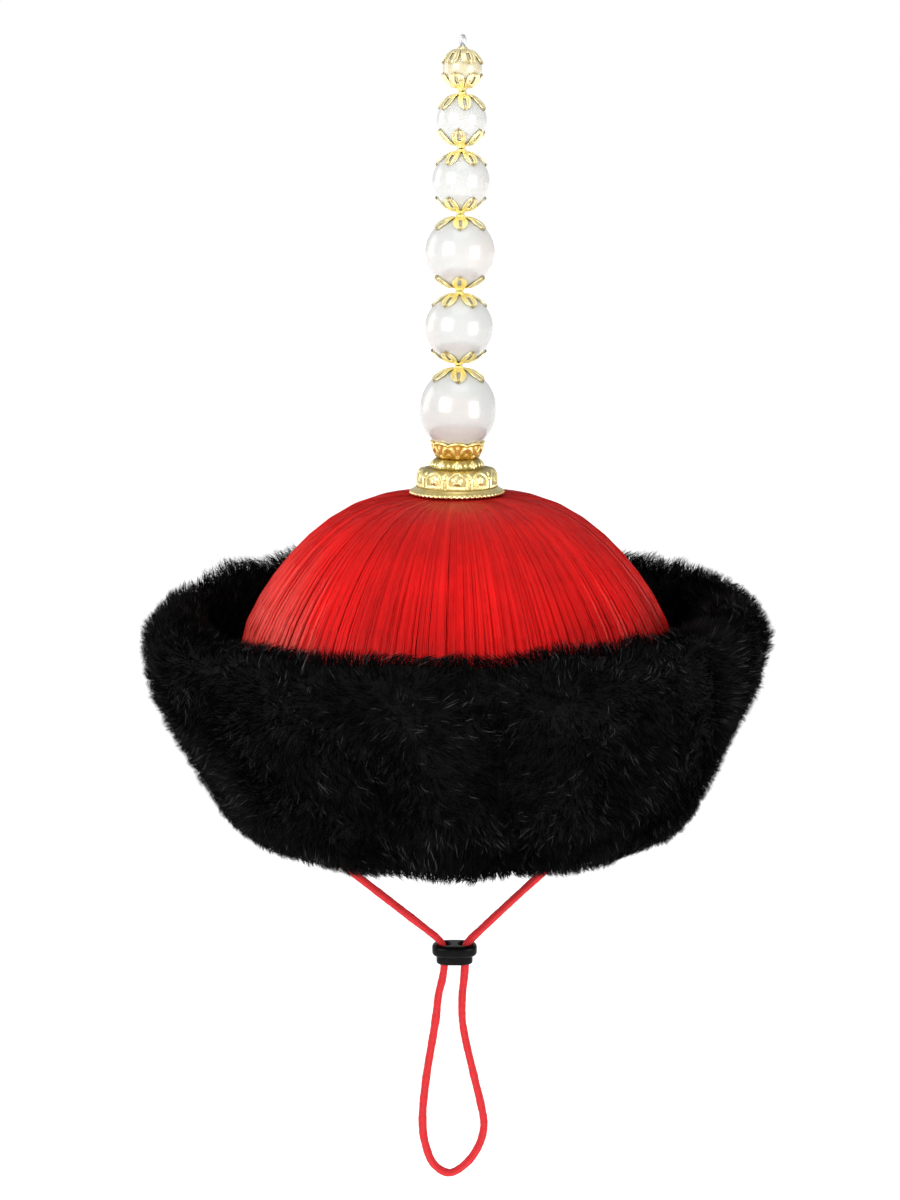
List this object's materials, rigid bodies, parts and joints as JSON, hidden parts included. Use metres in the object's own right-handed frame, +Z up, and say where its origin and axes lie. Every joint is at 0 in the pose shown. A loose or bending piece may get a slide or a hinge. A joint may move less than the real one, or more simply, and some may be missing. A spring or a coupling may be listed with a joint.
{
  "type": "mandarin hat",
  "caption": "Domed winter court hat with red thread fringe, upturned black fur brim, upright pearl finial on a cast gilt base, and a red chin cord with a slider",
  "frame": {"origin": "centre of the head opening, level with the cap's lower edge", "axes": "+Z up through the finial, the front faces -Y, and +X is the viewer's right"},
  "size_m": [0.2863, 0.3026, 0.5241],
  "materials": {
    "black_cloth": "woven cotton, matt",
    "red_thread": "glossy floss silk threads",
    "black_fur": "deep plush fur",
    "gilt": "bright gilt",
    "orange_gilt": "bright reddish gilt",
    "pearl": "pearl coating",
    "steel": "bright wire",
    "red_cord": "soft braided cord",
    "black_plastic": "moulded, half gloss"
  },
  "bodies": {
    "root": {"crown_gore_1": "black_cloth", "crown_gore_2": "black_cloth", "crown_gore_3": "black_cloth", "crown_gore_4": "black_cloth", "crown_gore_5": "black_cloth", "crown_gore_6": "black_cloth", "thread_fringe": "red_thread", "fur_brim": "black_fur", "finial_base": "gilt", "finial_cup": "orange_gilt", "pearl_1": "pearl", "pearl_2": "pearl", "pearl_3": "pearl", "pearl_4": "pearl", "pearl_5": "pearl", "top_bead": "pearl", "pearl_1_cap_top": "gilt", "pearl_2_cap_bottom": "gilt", "pearl_2_cap_top": "gilt", "pearl_3_cap_bottom": "gilt", "pearl_3_cap_top": "gilt", "pearl_4_cap_bottom": "gilt", "pearl_4_cap_top": "gilt", "pearl_5_cap_bottom": "gilt", "pearl_5_cap_top": "gilt", "top_bead_cap_bottom": "gilt", "top_bead_cap_top": "gilt", "finial_pin": "steel", "chin_cord": "red_cord", "cord_slider": "black_plastic", "cord_tab_left": "black_cloth", "cord_tab_right": "black_cloth"}
  },
  "joints": []
}
